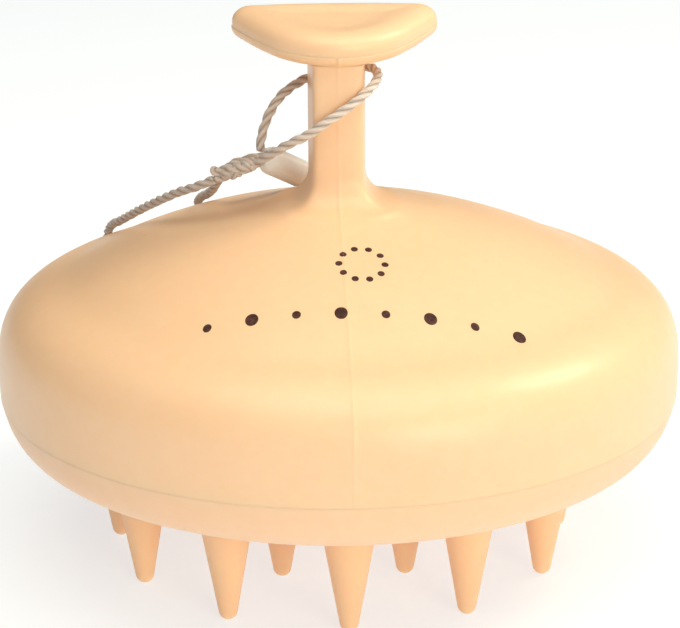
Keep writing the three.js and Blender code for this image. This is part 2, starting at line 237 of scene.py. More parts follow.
def string_yarn():
    """Off-white twisted yarn: fine filaments, painted shade in its grooves, and painted shade that makes it
    browner toward the knot end.
    """
    material, tree, shader = new_material(
        "string_yarn", (0.8, 0.7, 0.6), 0.82, Sheen_Weight=0.2, Sheen_Roughness=0.45, Specular_IOR_Level=0.25,
        Subsurface_Weight=0.12, Subsurface_Radius=(1.0, 0.8, 0.6), Subsurface_Scale=0.0005)
    uv = add_node(tree, "ShaderNodeUVMap", uv_map="UVMap").outputs["UV"]
    lengthwise = add_node(tree, "ShaderNodeMapping", {"Vector": uv}, {"Scale": (0.45, 34, 1)})
    filaments = add_node(tree, "ShaderNodeTexNoise", {"Vector": lengthwise.outputs["Vector"]},
                         {"Scale": 2.2, "Detail": 3.0, "Roughness": 0.6, "Distortion": 0.3}).outputs["Fac"]
    groove = add_node(tree, "ShaderNodeAttribute", attribute_name="groove").outputs["Fac"]
    place = add_node(tree, "ShaderNodeTexCoord").outputs["Object"]
    grime = spread_of(tree, noise(tree, place, 2.4, 3), 0.42, 0.75)
    clean = mixed(tree, spread_of(tree, filaments, 0.35, 0.65), (0.66, 0.57, 0.51), (0.97, 0.9, 0.85))
    # Painted shade: the yarn is made darker and browner toward the left, from x -1 mm to -8 mm, at the knot
    # end, on top of the random grime.
    along_x = add_node(tree, "ShaderNodeSeparateXYZ", {"Vector": place}).outputs["X"]
    painted_shade_left = spread_of(tree, along_x, -8 * MM, -1 * MM, 0.75, 0.0)
    grime_and_shade_amount = combine(tree, "ADD", combine(tree, "MULTIPLY", grime, 0.3), painted_shade_left)
    grimy_and_shaded = mixed(tree, grime_and_shade_amount, clean, (0.5, 0.42, 0.38))
    # Painted shade: the grooves between the strands are darkened by their depth.
    shaded = mixed(tree, combine(tree, "MULTIPLY", groove, 0.75), grimy_and_shaded, (0.3, 0.2, 0.14))
    tree.links.new(shaded, shader.inputs["Base Color"])
    bumped(tree, shader, filaments, 0.05, 0.9)
    return material


def milky_plastic():
    """The lock's translucent white plastic with faint lengthwise draw marks."""
    material, tree, shader = new_material(
        "milky_plastic", (0.93, 0.90, 0.88), 0.5, Transmission_Weight=0.1, IOR=1.45, Subsurface_Weight=0.7,
        Subsurface_Radius=(1.0, 0.85, 0.7), Subsurface_Scale=0.0015)
    place = add_node(tree, "ShaderNodeTexCoord").outputs["Object"]
    cloud = spread_of(tree, noise(tree, place, 1.8, 3), 0.3, 0.7)
    tree.links.new(mixed(tree, cloud, (0.96, 0.93, 0.91), (0.9, 0.86, 0.83)), shader.inputs["Base Color"])
    uv = add_node(tree, "ShaderNodeUVMap", uv_map="UVMap").outputs["UV"]
    lengthwise = add_node(tree, "ShaderNodeMapping", {"Vector": uv}, {"Scale": (0.4, 40, 1)})
    marks = add_node(tree, "ShaderNodeTexNoise", {"Vector": lengthwise.outputs["Vector"]},
                     {"Scale": 1.5, "Detail": 2.0}).outputs["Fac"]
    tree.links.new(spread_of(tree, marks, 0.3, 0.7, 0.45, 0.6), shader.inputs["Roughness"])
    bumped(tree, shader, marks, 0.015, 0.6)
    return material


def pad_ink():
    """Dark brown pad print, a little thinner in places."""
    material, tree, shader = new_material("pad_ink", (0.045, 0.016, 0.012), 0.5, Specular_IOR_Level=0.2)
    place = add_node(tree, "ShaderNodeTexCoord").outputs["Object"]
    thin = spread_of(tree, noise(tree, place, 0.5, 3), 0.4, 0.8)
    tree.links.new(mixed(tree, thin, (0.04, 0.014, 0.011), (0.13, 0.05, 0.035)), shader.inputs["Base Color"])
    bumped(tree, shader, noise(tree, place, 0.12, 2), 0.01, 0.5)
    return material


def inner_plastic():
    """Uncoloured moulded plastic of the clamp plate."""
    material, tree, shader = new_material("inner_plastic", (0.8, 0.77, 0.71), 0.45)
    place = add_node(tree, "ShaderNodeTexCoord").outputs["Object"]
    flow = spread_of(tree, noise(tree, place, 9, 4), 0.35, 0.7)
    tree.links.new(mixed(tree, flow, (0.82, 0.79, 0.73), (0.74, 0.71, 0.64)), shader.inputs["Base Color"])
    bumped(tree, shader, noise(tree, place, 0.2, 2), 0.02, 0.6)
    return material


def plated_steel():
    """Zinc-plated screws with fine turning marks."""
    material, tree, shader = new_material("plated_steel", (0.55, 0.56, 0.58), 0.32, Metallic=1.0)
    place = add_node(tree, "ShaderNodeTexCoord").outputs["Object"]
    rings = add_node(tree, "ShaderNodeTexWave", {"Vector": place}, {
        "Scale": 2400.0, "Distortion": 1.5}, wave_type="RINGS", rings_direction="Z").outputs["Fac"]
    tree.links.new(spread_of(tree, rings, 0, 1, 0.26, 0.4), shader.inputs["Roughness"])
    tarnish = spread_of(tree, noise(tree, place, 1.2, 3), 0.4, 0.8)
    tree.links.new(mixed(tree, tarnish, (0.58, 0.59, 0.61), (0.46, 0.44, 0.4)), shader.inputs["Base Color"])
    return material


CREAM, CREAM_DEEP = (0.90, 0.60, 0.38), (0.88, 0.56, 0.335)
PEACH, PEACH_DEEP = (0.90, 0.59, 0.38), (0.88, 0.55, 0.335)
APRICOT, APRICOT_DEEP = (0.91, 0.58, 0.34), (0.89, 0.54, 0.3)
SHELL_LOOK = moulded_plastic("shell_plastic", CREAM, CREAM_DEEP, roughness=0.34, subsurface=0.22)
RING_LOOK = moulded_plastic("ring_plastic", PEACH, PEACH_DEEP, roughness=0.42, subsurface=0.22)
SILICONE_LOOK = moulded_plastic("soft_silicone", APRICOT, APRICOT_DEEP, roughness=0.48, subsurface=0.45)
STRING_LOOK = string_yarn()
LOCK_LOOK = milky_plastic()
INK_LOOK = pad_ink()


# ---------------------------------------------------------------- mesh helpers

def make_piece(name, points, faces, look):
    """A smooth-shaded object from points in millimetres."""
    mesh = bpy.data.meshes.new(name)
    mesh.from_pydata([tuple(p) for p in np.asarray(points) * MM], [], faces)
    mesh.materials.append(look)
    mesh.shade_smooth()
    mesh.validate()
    made = bpy.data.objects.new(name, mesh)
    bpy.context.collection.objects.link(made)
    return made


def skin(rings, closed=False):
    """Points and faces over equal rings: a tube with both ends fanned shut, or a closed loop of rings."""
    rings = np.asarray(rings)
    rows, count, _ = rings.shape
    points = rings.reshape(-1, 3)
    faces = []
    for row in range(rows if closed else rows - 1):
        here, there = row * count, ((row + 1) % rows) * count
        faces += [
            (here + i, here + (i + 1) % count, there + (i + 1) % count, there + i) for i in range(count)
        ]
    if not closed:
        hubs = [rings[0].mean(axis=0), rings[-1].mean(axis=0)]
        first, last = len(points), len(points) + 1
        top = (rows - 1) * count
        faces += [((i + 1) % count, i, first) for i in range(count)]
        faces += [(top + i, top + (i + 1) % count, last) for i in range(count)]
        points = np.vstack([points, hubs])
    return points, faces


def joined(skins):
    """Several skins' points and faces as those of one mesh."""
    points, faces = [], []
    for skin_points, skin_faces in skins:
        faces += [tuple(i + len(points) for i in face) for face in skin_faces]
        points += list(skin_points)
    return points, faces


def add_uv(piece, uv_of_point):
    """A UV map from one (u, v) per point; v runs round, so a face that crosses its end is unwrapped."""
    layer = piece.data.uv_layers.new(name="UVMap")
    for polygon in piece.data.polygons:
        vs = [uv_of_point[piece.data.loops[i].vertex_index] for i in polygon.loop_indices]
        wrap = max(v for _, v in vs) - min(v for _, v in vs) > 0.5
        for i, (u, v) in zip(polygon.loop_indices, vs):
            layer.data[i].uv = (u, v + 1 if wrap and v < 0.5 else v)


def through(points, steps=24, closed=False):
    """A centripetal Catmull-Rom curve through points, the CAD's own curve, as a dense line."""
    p = np.asarray(points, float)
    if closed:
        p = np.vstack([p[-1], p, p[:2]])
    else:
        p = np.vstack([2 * p[0] - p[1], p, 2 * p[-1] - p[-2]])
    t = np.linspace(0, 1, steps, endpoint=False)[:, None]
    line = []
    for a, b, c, d in zip(p, p[1:], p[2:], p[3:]):
        ab, bc, cd = (math.sqrt(np.linalg.norm(e - s)) for s, e in ((a, b), (b, c), (c, d)))
        leave = ((b - a) / ab - (c - a) / (ab + bc) + (c - b) / bc) * bc
        arrive = ((c - b) / bc - (d - b) / (bc + cd) + (d - c) / cd) * bc
        line.append((2 * t**3 - 3 * t**2 + 1) * b + (t**3 - 2 * t**2 + t) * leave
                    + (3 * t**2 - 2 * t**3) * c + (t**3 - t**2) * arrive)
    if not closed:
        line.append(p[-2][None])
    return np.vstack(line)


def distance_along(line):
    """How far along the line each of its points is."""
    return np.concatenate([[0], np.cumsum(np.linalg.norm(np.diff(line, axis=0), axis=1))])


def spaced(line, step):
    """The line again, with even steps of about this length."""
    along = distance_along(line)
    at = np.linspace(0, along[-1], math.ceil(along[-1] / step) + 1)
    return np.stack([np.interp(at, along, line[:, k]) for k in range(line.shape[1])], axis=1)


def smoothed(line, reach, passes=3):
    """The line with its curvature evened out over reach points; its ends stay."""
    kernel = np.ones(2 * reach + 1) / (2 * reach + 1)
    for _ in range(passes):
        start = 2 * line[0] - line[reach:0:-1]
        end = 2 * line[-1] - line[-2:-reach - 2:-1]
        padded = np.vstack([start, line, end])
        line = np.stack([np.convolve(padded[:, k], kernel, "valid") for k in range(line.shape[1])], axis=1)
    return line


def ease(x):
    """A smooth step from 0 to 1."""
    x = np.clip(x, 0, 1)
    return x * x * (3 - 2 * x)


# ---------------------------------------------------------------- the dome's outline

def dome_line():
    """The dome's outline from the seam to the apex, with its curvature evened out."""
    outline = [(0, APEX_Z), *DOME_OUTLINE]
    dense = through(outline, steps=60)
    return smoothed(spaced(dense, step=0.1), reach=7)


DOME_LINE = dome_line()
TOP_STRETCH = DOME_LINE[:, 1] > 30


def dome_height(r):
    """Height of the dome's upper side at a distance from its axis."""
    line = DOME_LINE[TOP_STRETCH]
    return np.interp(r, line[:, 0], line[:, 1])


# ---------------------------------------------------------------- string

STRANDS = 3
STRAND_POINTS = 12        # points of a ring on each strand
RING_STEP = 0.14          # length of string from one ring of its mesh to the next


def sweep_frames(line):
    """Two unit vectors across the line at each of its points, carried along without twisting."""
    tangent = np.gradient(line, axis=0)
    tangent /= np.linalg.norm(tangent, axis=1)[:, None]
    off_axis = (0.31, 0.17, 0.93)
    side = np.cross(tangent[0], off_axis)
    sides = []
    for t in tangent:
        side = side - t * (side @ t)
        side /= np.linalg.norm(side)
        sides.append(side)
    sides = np.array(sides)
    return sides, np.cross(tangent, sides)


def rope_skin(line, radius, pitch, phase=0.0, end_round=0.25):
    """A rope as one skin, its strands wound right-handed, one turn each pitch, and its ends rounded off."""
    around = STRANDS * STRAND_POINTS
    strand_r = 0.56 * radius
    offset = radius - strand_r
    along = distance_along(line)
    u, w = sweep_frames(line)
    turn = np.linspace(0, TURN, around, endpoint=False)
    sector = TURN / STRANDS
    from_strand = (turn + sector / 2) % sector - sector / 2
    reach = offset * np.cos(from_strand) + np.sqrt(strand_r**2 - (offset * np.sin(from_strand)) ** 2)
    groove = 1 - (reach - reach.min()) / (reach.max() - reach.min())
    rings = []
    for i, s in enumerate(along):
        # The yarn swells and thins a little along its length.
        slack = 1 + 0.035 * math.sin(s * 2.1 + phase) + 0.02 * math.sin(s * 5.3 + 2 * phase)
        to_end = min(s, along[-1] - s) / end_round
        closing = math.sqrt(1 - (1 - min(1, to_end)) ** 2) if to_end < 1 else 1
        r = reach * slack * (0.35 + 0.65 * closing)
        angle = turn + TURN * s / pitch + phase
        rings.append(line[i] + (r * np.cos(angle))[:, None] * u[i] + (r * np.sin(angle))[:, None] * w[i])
    uv = [(s, k / around) for s in along for k in range(around)] + [(0, 0), (along[-1], 0)]
    depth = list(np.tile(groove, len(along))) + [0.5, 0.5]
    return *skin(rings), uv, depth


def yarn_piece(name, skins):
    """A piece of yarn from skins that each come with their places along the yarn and groove depths."""
    points, faces = joined([(part_points, part_faces) for part_points, part_faces, _, _ in skins])
    piece = make_piece(name, points, faces, STRING_LOOK)
    add_uv(piece, [place for _, _, part_uv, _ in skins for place in part_uv])
    groove = piece.data.attributes.new("groove", "FLOAT", "POINT")
    groove.data.foreach_set("value", [depth for _, _, _, part_depth in skins for depth in part_depth])
    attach(piece, "string")
    return piece


def route(points):
    """The string's line through the points of its route."""
    return spaced(through(points), step=RING_STEP)


def stray_fibres(name, line, radius, count, seed):
    """Short loose fibres that stand off the yarn: thin three-sided hairs."""
    rng = np.random.default_rng(seed)
    u, w = sweep_frames(line)
    skins = []
    for _ in range(count):
        i = int(rng.integers(4, len(line) - 12))
        angle = rng.uniform(0, TURN)
        out = u[i] * math.cos(angle) + w[i] * math.sin(angle)
        ahead = line[i + 4] - line[i]
        ahead /= np.linalg.norm(ahead)
        length, lift, lean = rng.uniform(0.7, 1.6), rng.uniform(0.12, 0.34), rng.uniform(-0.3, 0.3)
        t = np.linspace(0, 1, 7)[:, None]
        across = np.cross(out, ahead)
        hair = (line[i] + out * radius * 0.8 + ahead * length * t + out * lift * np.sin(t * 2.6) ** 1.5
                + across * lean * t**2)
        hu, hw = sweep_frames(hair)
        thin = 0.018 * np.linspace(1, 0.35, len(hair))
        corners = (0, TURN / 3, TURN * 2 / 3)
        rings = [
            [hair[k] + thin[k] * (hu[k] * math.cos(a) + hw[k] * math.sin(a)) for a in corners]
            for k in range(len(hair))
        ]
        points, faces = skin(rings)
        skins.append((points, faces, [(0.0, 0.5)] * len(points), [0.0] * len(points)))
    return yarn_piece(name, skins)


def make_string():
    """The loop round the neck, the knot, the hanging loop and the barrel on its end."""
    neck_line, hang_line = route(NECK_LOOP_ROUTE), route(HANG_LOOP_ROUTE)
    neck_loop = yarn_piece("string_neck_loop", [rope_skin(neck_line, STRING_R, pitch=5.0)])
    hang_loop = yarn_piece("string_hang_loop", [rope_skin(hang_line, STRING_R, pitch=5.4, phase=1.3)])
    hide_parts("neck_loop")
    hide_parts("hang_loop")
    knot = make_knot()
    lock = make_lock()
    fuzz = [
        stray_fibres("string_fibres_neck", neck_line, STRING_R, count=34, seed=7),
        stray_fibres("string_fibres_hang", hang_line, STRING_R, count=40, seed=8),
    ]


def axes_between(start, end):
    """The distance from start to end, and unit vectors along it, level across it and across both."""
    axis = end - start
    length = np.linalg.norm(axis)
    axis /= length
    side = np.cross(axis, (0, 0, 1))
    side /= np.linalg.norm(side)
    return length, axis, side, np.cross(side, axis)


def make_knot():
    """The overhand knot: the string runs through, wraps twice round itself and leaves a cut stub."""
    length, axis, side, up = axes_between(KNOT_LEFT, KNOT_RIGHT)

    def wrap(start, end, turns, radius, phase):
        t = np.linspace(0, 1, 90)
        at = length * (start + (end - start) * t)
        angle = phase + TURN * turns * t
        r = radius * (0.55 + 0.45 * np.sin(np.pi * t) ** 0.6)
        sideways, upward = r * np.cos(angle), r * np.sin(angle)
        return KNOT_LEFT + at[:, None] * axis + sideways[:, None] * side + upward[:, None] * up

    def beside(along, rise, out=0.0):
        return KNOT_LEFT + length * along * axis + rise * up + out * side

    core = route([beside(-0.1, 0.0), beside(0.3, -0.2), beside(0.7, -0.2), beside(1.09, 0.0)])
    doubled = route([
        beside(0.98, 0.1), beside(0.75, 0.5), beside(0.45, 0.7), beside(0.15, 0.6), beside(-0.02, 0.8),
        STUB_END + 0.25 * axis,
    ])
    inner = route([beside(0.1, 0.1), beside(0.4, 0.3, 0.35), beside(0.85, 0.15, 0.3)])
    windings = [
        wrap(start=0.08, end=0.7, turns=1.6, radius=0.6, phase=0.6),
        wrap(start=0.92, end=0.3, turns=1.7, radius=0.58, phase=3.4),
    ]
    skins = [
        rope_skin(core, 0.64, pitch=4.6),
        rope_skin(doubled, 0.62, pitch=3.8, phase=2.0, end_round=0.3),
        rope_skin(inner, 0.75, pitch=3.0, phase=0.8),
    ]
    for phase, line in enumerate(windings):
        skins.append(rope_skin(spaced(line, step=RING_STEP), 0.46, pitch=3.6, phase=phase))
    knot = yarn_piece("string_knot", skins)
    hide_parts("knot")
    return knot


def make_lock():
    """The barrel that takes the string's end: a tapered mouth, eight faint flats and a rounded far end."""
    length, axis, side, up = axes_between(LOCK_MOUTH, LOCK_FAR)
    bore, edge, columns = STRING_R + 0.25, 0.35, 64
    profile = [
        (bore - 0.05, 1.6), (bore, 0.5), (bore + 0.06, 0.1), (bore + 0.16, 0.0), (1.15, 0.0), (1.24, 0.05),
        (1.33, 0.16), (1.68, 0.75), (1.76, 0.95), (LOCK_R, 1.25),
    ]
    profile += [(LOCK_R, z) for z in np.linspace(2, length - 0.6, 8)]
    profile += [(LOCK_R - edge * (1 - math.sin(a)), length - edge * (1 - math.cos(a)))
                for a in np.linspace(math.pi / 2, 0, 6)]
    profile += [(0.95, length), (0.88, length - 0.05), (0.8, length - 0.22), (0.4, length - 0.24)]
    turn = np.linspace(0, TURN, columns, endpoint=False)
    flats = 1 - 0.012 * (1 - np.cos(8 * turn)) / 2
    rings = []
    for r, z in profile:
        sideways, upward = r * flats * np.cos(turn), r * flats * np.sin(turn)
        rings.append(LOCK_MOUTH + z * axis + sideways[:, None] * side + upward[:, None] * up)
    points, faces = skin(rings)
    lock = make_piece("lock_barrel", points, faces, LOCK_LOOK)
    add_uv(lock, [(z, k / columns) for _, z in profile for k in range(columns)] + [(0, 0), (length, 0)])
    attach(lock, "string")
    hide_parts("cord_lock")
    return lock


make_string()


# ---------------------------------------------------------------- dome, neck and tray

NECK_SQUARENESS, FOOT_SQUARENESS = 9, 2.2   # exponents of the section up the neck and out at the foot
NECK_TRIM = 0.12                            # taken off the neck's half width, before the flare
NECK_FLARE = 0.085                          # how much wider each side is toward the back, per millimetre
NECK_CROWN = 0.35                           # bulge of the middle of the front and back faces
FOOT_START_R = 11.5                         # where the dome's own rings end and the foot's begin

LINE_X = (-0.45, -0.13, 0.0, 0.13, 0.45)    # columns beside the mould line, at fixed widths
LINE_HEIGHT = (0.0, 0.25, 1.0, 0.25, 0.0)   # share of the mould line's height at each of them
MOULD_LINE = 0.055                          # how far the mould line stands proud
SIDE_COLUMNS = 116
COLUMN_RIDGE = np.array((*LINE_HEIGHT, *[0] * SIDE_COLUMNS, *LINE_HEIGHT, *[0] * SIDE_COLUMNS))


def column_angles(reach):
    """Direction of each column at this distance from the axis: bunched on -Y and +Y, even between them."""
    near = np.arcsin(np.clip(np.array(LINE_X) / reach, -1, 1))
    front = -math.pi / 2 + near
    back = math.pi / 2 + near
    right = np.linspace(front[-1], back[0], SIDE_COLUMNS + 2)[1:-1]
    left = np.linspace(back[-1], front[0] + TURN, SIDE_COLUMNS + 2)[1:-1]
    return np.concatenate([front, right, back, left])


def dents(x, y):
    """How far the dome sinks at a place: a shallow oval beside the neck and a small old knock on the left."""
    oval = np.hypot((x - 9.2) / 4.4, (y - 4.6) / 4.6)
    knock = np.hypot((x + 31.4) / 1.6, (y - 3.4) / 2.4)
    return 0.11 * ease((1 - oval) / 0.22) + 0.08 * ease(1 - knock)


def neck_reach(angle, spread=0.0):
    """Radius of the neck's rounded-square section in a direction, spread by an amount all round."""
    share = min(1, spread / (FOOT_SPREAD * 1.6))
    roundness = NECK_SQUARENESS - (NECK_SQUARENESS - FOOT_SQUARENESS) * share
    half_x, half_y = NECK_HALF_X - NECK_TRIM + spread, NECK_HALF_Y + spread
    across, deep = half_x, half_y
    for _ in range(6):
        corner = np.abs(np.cos(angle) / across) ** roundness + np.abs(np.sin(angle) / deep) ** roundness
        reach = corner ** (-1 / roundness)
        across = half_x + NECK_FLARE * (1 - share) * reach * np.sin(angle)
        deep = half_y + NECK_CROWN * (1 - share) * (1 - np.clip(reach * np.cos(angle) / across, -1, 1) ** 2)
    return reach


def foot_height(spread):
    """The fillet's height at a distance outside the neck: a quarter ellipse, then falling away."""
    inside = np.clip(1 - spread / FOOT_SPREAD, 0, 1)
    beyond = max(0.0, spread - FOOT_SPREAD)
    return FOOT_TOP_Z - (FOOT_TOP_Z - FOOT_BOTTOM_Z) * math.sqrt(1 - inside**2) - 0.4 * beyond


def soft_max(a, b, width):
    """The larger of two heights, with a rounded change from one to the other."""
    h = np.clip(0.5 + 0.5 * (a - b) / width, 0, 1)
    return a * h + b * (1 - h) + width * h * (1 - h)


def ring_at(angle, reach, z, ridge=0.0):
    """A ring of points from polar places; ridge lifts the mould line outwards."""
    r = reach + ridge * COLUMN_RIDGE
    return np.stack([r * np.cos(angle), r * np.sin(angle), np.broadcast_to(z, angle.shape)], axis=1)


def dome_rings():
    """Rings from the seam up the rim and over the dome, as far as the fillet at the neck's foot."""
    line = spaced(DOME_LINE[::-1], step=0.42)
    lift = MOULD_LINE * COLUMN_RIDGE
    rings = []
    for (r, z), slope in zip(line, np.gradient(line, axis=0)):
        if r <= FOOT_START_R:
            break
        angle = column_angles(r)
        outward = np.array((slope[1], -slope[0])) / np.hypot(*slope)
        x, y = r * np.cos(angle), r * np.sin(angle)
        rings.append(np.stack([
            x + lift * outward[0] * np.cos(angle), y + lift * outward[0] * np.sin(angle),
            z + lift * outward[1] - dents(x, y),
        ], axis=1))
    return rings


def foot_rings():
    """Rings that close in from the dome to the neck, first round, then rounded square."""
    widest, round_until = 7.9, 3.2
    rings = []
    for spread in (widest - 1) * np.linspace(1, 0.047, 22) ** 2:
        angle = column_angles(NECK_HALF_Y + spread)
        square = neck_reach(angle, spread)
        share = ease((spread - round_until) / (widest - round_until))
        reach = square * (1 - share) + share * (FOOT_START_R - (widest - spread))
        x, y = reach * np.cos(angle), reach * np.sin(angle)
        dome = dome_height(reach) - dents(x, y)
        z = soft_max(dome, foot_height(spread), 0.35)
        flat = ease(spread / FOOT_SPREAD)
        # The mould line is boldest halfway round the fillet.
        ridge = MOULD_LINE * (1 + 5 * flat * (1 - flat))
        rings.append(ring_at(angle, reach, z + ridge * COLUMN_RIDGE * flat, ridge * (1 - flat)))
    return rings


def tilt(x, y, z):
    """A point of the grip, drawn about its parting plane, put in its place."""
    c, s = math.cos(GRIP_TILT), math.sin(GRIP_TILT)
    return np.stack([x, y * c - z * s, GRIP_Z + y * s + z * c], axis=-1)


def tray_underside_z(y):
    """Height of the tray's flat underside over a place on the neck."""
    c, s = math.cos(GRIP_TILT), math.sin(GRIP_TILT)
    return GRIP_Z + (y - TRAY_DEPTH * s) / c * s - TRAY_DEPTH * c


def neck_rings():
    """Rings up the neck and out in a small fillet to the tray."""
    fillet = 0.4
    angle = column_angles(NECK_HALF_Y)
    reach = neck_reach(angle)
    top = tray_underside_z(reach * np.sin(angle))
    rings = [ring_at(angle, reach, FOOT_TOP_Z + (top - fillet - FOOT_TOP_Z) * t, MOULD_LINE)
             for t in np.linspace(0, 1, 30)]
    for a in np.linspace(0.3, math.pi / 2, 5):
        out = fillet * (1 - math.cos(a))
        here = neck_reach(angle, out)
        z = tray_underside_z(here * np.sin(angle)) - fillet * (1 - math.sin(a))
        rings.append(ring_at(angle, here, z, MOULD_LINE))
    return rings


GRIP_LINE = through(GRIP_OUTLINE, steps=40, closed=True)
PARTING_INSET = 1.6       # how far the tray's and the cap's meeting faces reach in from the edge


def grip_ring(z, inset, ridge=0.0):
    """The grip's outline drawn in by an amount, at a height over the parting plane; ridge lifts its front."""
    ahead = np.roll(GRIP_LINE, -1, axis=0) - np.roll(GRIP_LINE, 1, axis=0)
    ahead /= np.linalg.norm(ahead, axis=1)[:, None]
    drawn = GRIP_LINE + inset * np.stack([-ahead[:, 1], ahead[:, 0]], axis=1)
    directions = np.arctan2(drawn[:, 1], drawn[:, 0])
    order = np.argsort(directions)
    angle = column_angles(abs(GRIP_OUTLINE[0][1]))
    reach = np.interp(angle, directions[order], np.hypot(*drawn.T)[order], period=TURN)
    reach = reach + ridge * COLUMN_RIDGE * (np.sin(angle) < 0)
    return tilt(reach * np.cos(angle), reach * np.sin(angle), np.full(angle.shape, float(z)))


def tray_rings():
    """Underside, rounded edge with its small nub at the front, and the parting face."""
    undercut, edge_z, nub = 1.2, -0.06, 0.28
    rings = []
    for a in np.linspace(0.05, math.pi / 2, 9):
        z = edge_z - (TRAY_DEPTH + edge_z) * math.cos(a)
        rings.append(grip_ring(z, undercut * (1 - math.sin(a)), ridge=nub * math.sin(a)))
    rings += [grip_ring(-0.02, 0.012), grip_ring(-0.004, 0.04), grip_ring(-0.004, PARTING_INSET)]
    return rings


def make_shell():
    """One closed skin: inner roof, seam face, dome, foot, neck and tray."""
    inner_r = BODY_R - WALL
    roof = [
        (2, 42.9), (8, 42.4), (14.5, 40.65), (21.3, 38.8), (28.1, 36.2), (33.6, 33.6), (37.6, 31.8),
        (39.7, 29.9), (inner_r, 27), (inner_r, 22.3),
    ]
    seam_face = [
        (inner_r + 0.2, SEAM_Z + 0.004), (BODY_R - 0.05, SEAM_Z + 0.003),
        (BODY_R - 0.03, SEAM_Z + 0.01), (BODY_R - 0.022, SEAM_Z + 0.03),
    ]
    rings = [ring_at(column_angles(r), r, z) for r, z in roof + seam_face]
    rings += dome_rings() + foot_rings() + neck_rings() + tray_rings()
    points, faces = skin(rings)
    shell = make_piece("shell_skin", points, faces, SHELL_LOOK)
    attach(shell, "root")
    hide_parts("top_shell")


make_shell()


# ---------------------------------------------------------------- grip cap

def make_cap():
    """A cushion-like cap with a broad soft rim and a slightly dished middle."""
    setback, rim = 0.09, 2.7
    parting_z, edge_z = -0.006, 0.55
    dish, dish_y = 0.28, 3.4
    rings = [grip_ring(parting_z, PARTING_INSET)]
    rings += [grip_ring(z, setback) for z in (parting_z, 0.02, 0.3, edge_z)]
    for a in np.linspace(0, math.pi / 2, 16)[1:]:
        z = edge_z + (CAP_HEIGHT - edge_z) * math.sin(a) ** 0.95
        rings.append(grip_ring(z, setback + rim * (1 - math.cos(a)) ** 1.05))
    edge = grip_ring(0, setback + rim)
    middle = tilt(0.0, dish_y, 0.0)
    lift = np.array((0, -math.sin(GRIP_TILT), math.cos(GRIP_TILT)))
    for k in np.linspace(0, 0.97, 22)[1:]:
        z = CAP_HEIGHT - dish * ease(k / 0.52)
        rings.append(edge + (middle - edge) * k + lift * z)
    points, faces = skin(rings)
    cap = make_piece("grip_cap_skin", points, faces, SHELL_LOOK)
    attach(cap, "root")
    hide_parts("grip_cap")


make_cap()


# ---------------------------------------------------------------- turned pieces

def turned_rings(profile, columns=208):
    """A ring round the Z axis for each (radius, height) of a profile."""
    angle = np.linspace(0, TURN, columns, endpoint=False)
    circle = np.stack([np.cos(angle), np.sin(angle), np.zeros(columns)], axis=1)
    return [r * circle + (0, 0, z) for r, z in profile]


def arc(centre, radius, start, end, count=6):
    """Points of an arc in the (radius, height) plane, angles in degrees from outwards."""
    return [(centre[0] + radius * math.cos(math.radians(a)), centre[1] + radius * math.sin(math.radians(a)))
            for a in np.linspace(start, end, count)]


def make_base_ring():
    """The band below the seam, with its tongue inside the shell and its ledge under the pad's flange."""
    mouth_r, mouth_edge, ledge_z = 36.1, 0.25, 17.3
    tongue_r, tongue_inner_r, tongue_z = 40.3, 39.3, 24.4
    bottom = [(BOTTOM_R, BOTTOM_Z), (39.3, 15.95), (40.8, 17.1), (42.1, 19.2), (42.865, 21.9)]
    side = spaced(smoothed(spaced(through(bottom, steps=30), step=0.1), reach=4), step=0.35)
    seam = [
        (42.86, SEAM_Z - 0.02), (42.85, SEAM_Z - 0.008), (42.82, SEAM_Z - 0.003),
        (tongue_r, SEAM_Z - 0.003), (tongue_r, tongue_z), (tongue_inner_r, tongue_z),
    ]
    mouth = [(tongue_inner_r, ledge_z), (mouth_r, ledge_z)]
    mouth += arc((mouth_r + mouth_edge, BOTTOM_Z + mouth_edge), mouth_edge, 180, 270)
    points, faces = skin(turned_rings([*side, *seam, *mouth]), closed=True)
    ring = make_piece("base_ring_skin", points, faces, RING_LOOK)
    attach(ring, "root")
    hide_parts("base_ring")


def make_pad():
    """Underside with a shallow round groove near its rounded edge, and the trapped flange inside."""
    hub_r, rim_r, rim_edge = 0.8, 35.6, 0.4
    flange_z, flange_top_z = 17.6, 20
    groove = [(33.0, 0.02), (33.2, 0.05), (33.4, 0.16), (33.7, 0.2), (34.0, 0.16), (34.2, 0.05), (34.4, 0.02)]
    profile = [(r, PAD_Z + 0.02) for r in (hub_r, 12, 21)]
    profile += [(r, PAD_Z + depth) for r, depth in groove]
    profile += arc((rim_r - rim_edge, PAD_Z + rim_edge), rim_edge, 270, 360)
    profile += [
        (rim_r, flange_z), (FLANGE_R, flange_z), (FLANGE_R, flange_top_z), (34.8, flange_top_z),
        (34.4, PAD_TOP_Z), (hub_r, PAD_TOP_Z),
    ]
    points, faces = skin(turned_rings(profile))
    pad = make_piece("pad_skin", points, faces, SILICONE_LOOK)
    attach(pad, "root")
    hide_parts("brush_pad")


make_base_ring()
make_pad()


# ---------------------------------------------------------------- teeth

def tooth_profile():
    """From the tip to the root: a ball tip, a straight cone and a fillet that runs out on the pad."""
    def cone_r(z):
        return TOOTH_TIP_R / math.cos(TOOTH_TAPER) + (z - TOOTH_TIP_R) * math.tan(TOOTH_TAPER)

    tip = arc((0, TOOTH_TIP_R), TOOTH_TIP_R, -84, -math.degrees(TOOTH_TAPER), 9)
    straight = [(cone_r(z), z) for z in np.linspace(1.6, 14.2, 22)]
    fillet_z, fillet_r = 1.5, 1.2
    root = []
    for a in np.linspace(0.15, math.pi / 2, 9):
        below = fillet_z * math.cos(a)
        root.append((cone_r(PAD_Z - below) + fillet_r * (1 - math.cos(a)), PAD_Z + 0.03 - below))
    return [*tip, *straight, *root, (root[-1][0] + 0.1, PAD_Z + 0.35)]


